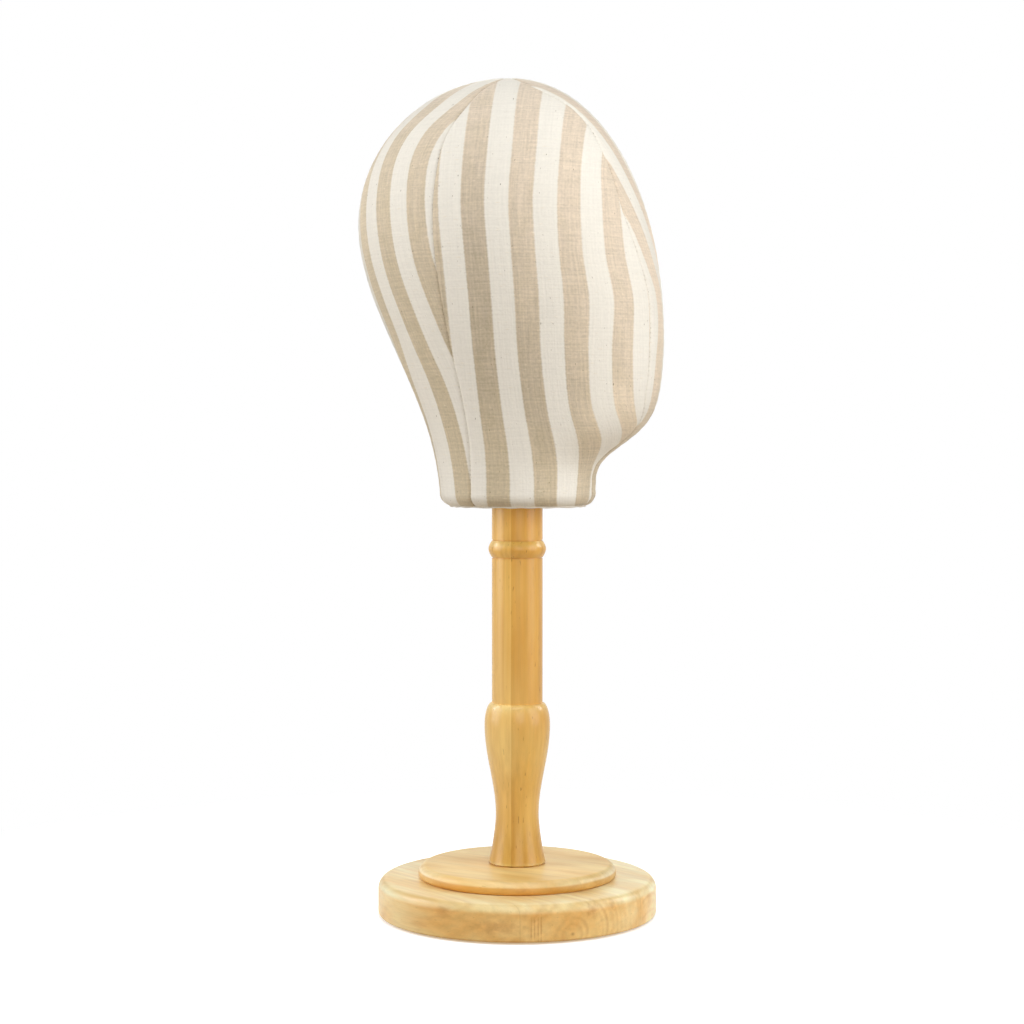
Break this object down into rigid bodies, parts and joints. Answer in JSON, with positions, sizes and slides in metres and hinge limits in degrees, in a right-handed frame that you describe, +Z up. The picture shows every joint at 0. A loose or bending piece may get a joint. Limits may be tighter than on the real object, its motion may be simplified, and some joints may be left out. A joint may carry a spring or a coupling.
{
  "type": "wig stand",
  "caption": "Turned wooden pedestal stand with a round stepped base and vase-shaped post, carrying a cloth-covered display head that turns and lifts off.",
  "frame": {"origin": "on the post's axis, at the underside of the felt that the stand rests on", "axes": "+Z up along the post, +X towards the face, +Y towards the head's left side"},
  "size_m": [0.1967, 0.18, 0.5381],
  "materials": {
    "base_timber": "gloss",
    "post_timber": "gloss",
    "plywood": "matte",
    "linen": "matte",
    "foam": "matte",
    "felt": "matte",
    "steel": "satin",
    "brass": "satin",
    "tube_plastic": "matte"
  },
  "bodies": {
    "stand": {"base_felt": "felt", "base_disc": "base_timber", "base_riser": "base_timber", "riser_screws": "steel", "base_washer": "steel", "base_bolt": "steel", "post": "post_timber", "post_insert": "brass"},
    "swivel": {"swivel_pad": "felt"},
    "head": {"head_core": "foam", "neck_board": "plywood", "socket_tube": "tube_plastic", "socket_plug": "plywood", "neck_base_cloth": "linen", "face_panel_right": "linen", "face_panel_left": "linen", "side_panel_right": "linen", "side_panel_left": "linen", "back_panel_right": "linen", "back_panel_left": "linen"}
  },
  "joints": [
    {"name": "head_spin", "type": "hinge", "parent": "stand", "child": "swivel", "pos_m": [0, 0, 0.355], "axis": [0, 0, 1], "continuous": true},
    {"name": "head_lift", "type": "slide", "parent": "swivel", "child": "head", "axis": [0, 0, 1], "range_m": [0, 0.085]}
  ]
}
